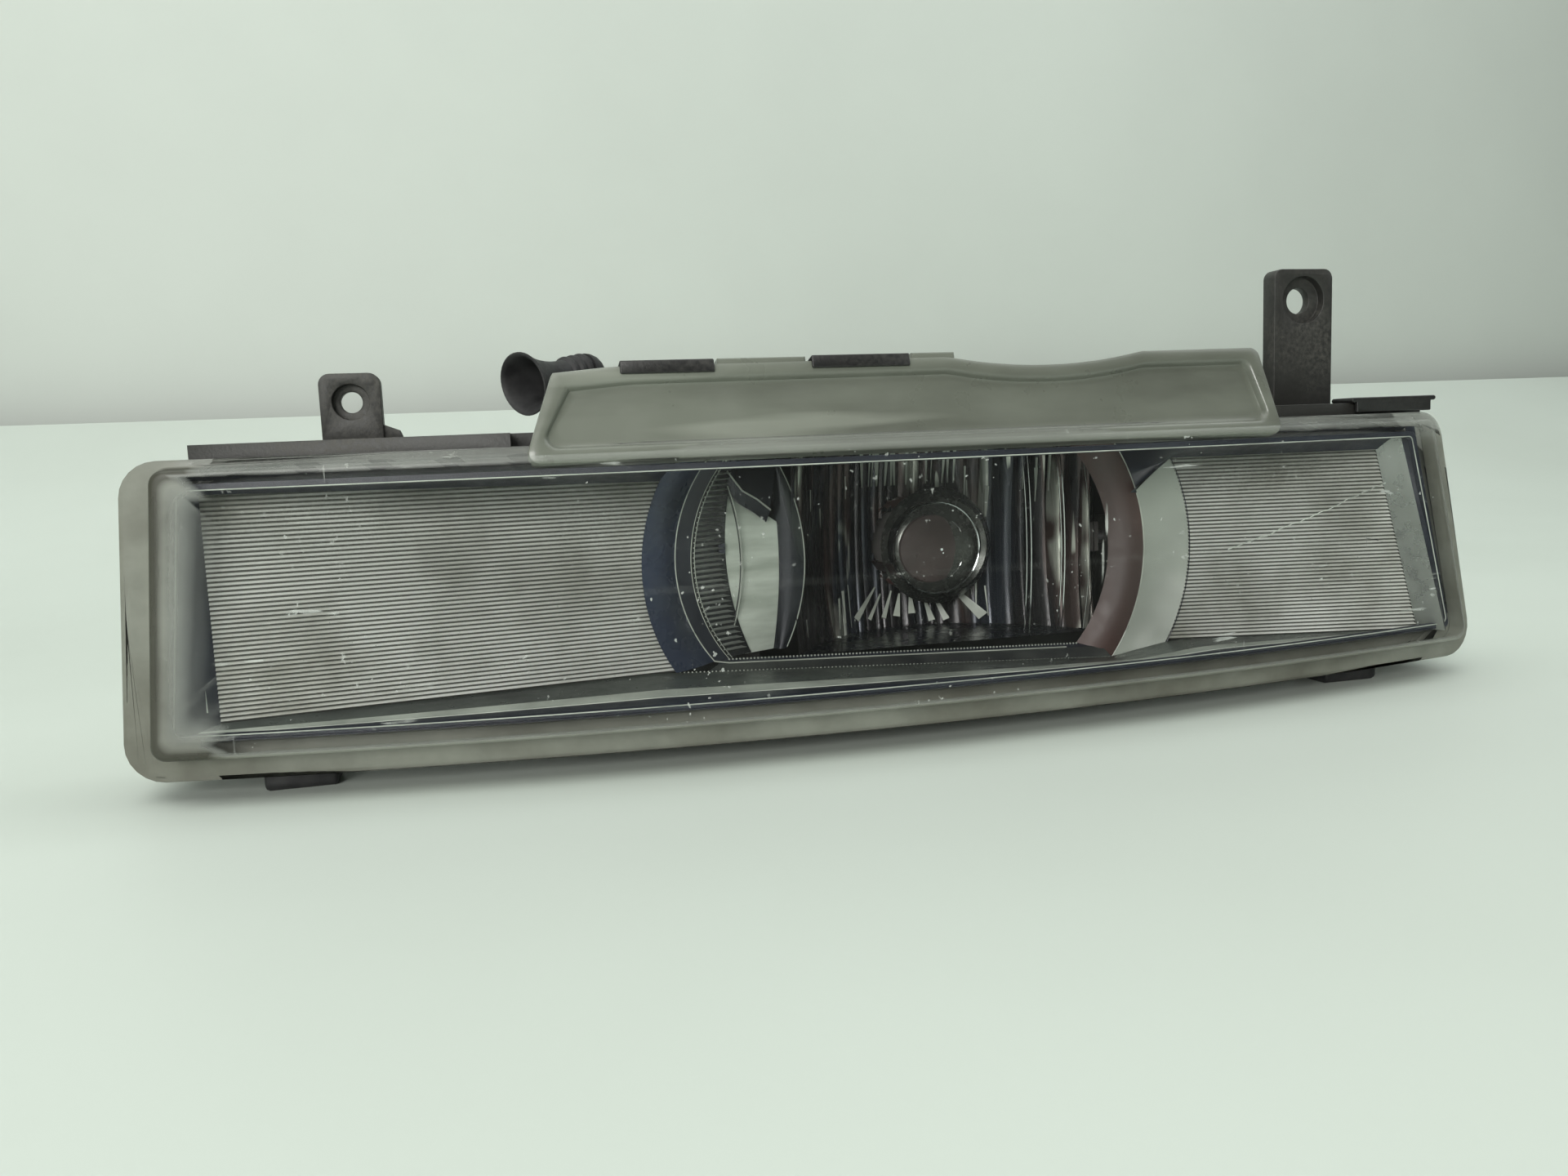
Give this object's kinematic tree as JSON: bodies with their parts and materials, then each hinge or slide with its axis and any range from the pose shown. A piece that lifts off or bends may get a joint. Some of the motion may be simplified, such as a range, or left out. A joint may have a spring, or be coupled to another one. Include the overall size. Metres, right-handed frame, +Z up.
{
  "type": "fog light",
  "caption": "Wide rectangular halogen fog lamp for a car bumper: curved lens, ribbed mirror wings, tilting reflector, twist-lock bulb and rear cap, two mounting tabs.",
  "frame": {"origin": "on the ground plane under the middle of the lamp's bounding box", "axes": "+X to the outboard end along the lens, +Y to the rear, away from the lens, +Z up"},
  "size_m": [0.3406, 0.133, 0.112],
  "materials": {
    "black_plastic": "satin black moulded plastic, dusty",
    "lens_clear": "clear polycarbonate face with frosted flange and apron, hazed and scratched",
    "seal": "matt sealing bead",
    "dark_chrome": "glossy dark chrome",
    "bright_mirror": "vacuum aluminised",
    "screw_steel": "zinc plated steel",
    "rubber_black": "matt black rubber",
    "brass": "tinned brass blades",
    "nylon": "natural white nylon",
    "bulb_glass": "hard glass capsule",
    "tungsten": "tungsten coil and lead wires",
    "bulb_plastic": "heat-resistant grey plastic",
    "steel_shield": "polished steel cap"
  },
  "bodies": {
    "housing_body": {"housing": "black_plastic", "housing_pod": "black_plastic", "mounting_tabs": "black_plastic", "lens": "lens_clear", "lens_seal": "seal", "bezel_frame": "dark_chrome", "aperture_ring": "dark_chrome", "wing_reflector_left": "bright_mirror", "wing_reflector_right": "bright_mirror", "light_baffle": "bright_mirror", "bezel_screws": "screw_steel", "apron_clips": "black_plastic", "end_clip": "black_plastic", "vent_trumpet": "rubber_black", "connector_shell": "black_plastic", "connector_pins": "brass", "pivot_pins": "screw_steel", "adjuster_bush": "nylon", "buffer_feet": "rubber_black"},
    "reflector_body": {"reflector": "bright_mirror", "bulb_shield": "steel_shield"},
    "bulb_body": {"bulb_glass": "bulb_glass", "bulb_filament": "tungsten", "bulb_base": "bulb_plastic", "bulb_seal": "rubber_black", "bulb_terminals": "brass"},
    "screw_body": {"adjuster_screw": "nylon"},
    "nut_body": {"adjuster_nut": "nylon"},
    "cap_body": {"rear_cap": "black_plastic", "rear_cap_seal": "rubber_black"}
  },
  "joints": [
    {"name": "aim_screw_turn", "type": "hinge", "parent": "housing_body", "child": "screw_body", "pos_m": [0.05751, 0.0495, 0.076], "axis": [0, 1, 0], "range_deg": [-375, 375]},
    {"name": "reflector_tilt", "type": "hinge", "parent": "housing_body", "child": "reflector_body", "pos_m": [0.02751, -0.0005, 0.04], "axis": [1, 0, 0], "range_deg": [-2.6, 2.6]},
    {"name": "nut_slide", "type": "slide", "parent": "housing_body", "child": "nut_body", "axis": [0, 1, 0], "range_m": [-0.0017, 0.0017]},
    {"name": "bulb_twist", "type": "hinge", "parent": "reflector_body", "child": "bulb_body", "pos_m": [0.02751, 0.0335, 0.04], "axis": [0, 1, 0], "range_deg": [0, 45]},
    {"name": "cap_twist", "type": "hinge", "parent": "housing_body", "child": "cap_body", "pos_m": [0.02751, 0.0545, 0.04], "axis": [0, 1, 0], "range_deg": [0, 30]}
  ],
  "couplings": [
    {"joint": "reflector_tilt", "follows": "aim_screw_turn", "ratio": 0.0066315},
    {"joint": "nut_slide", "follows": "aim_screw_turn", "m_per_rad": -0.00023873}
  ]
}
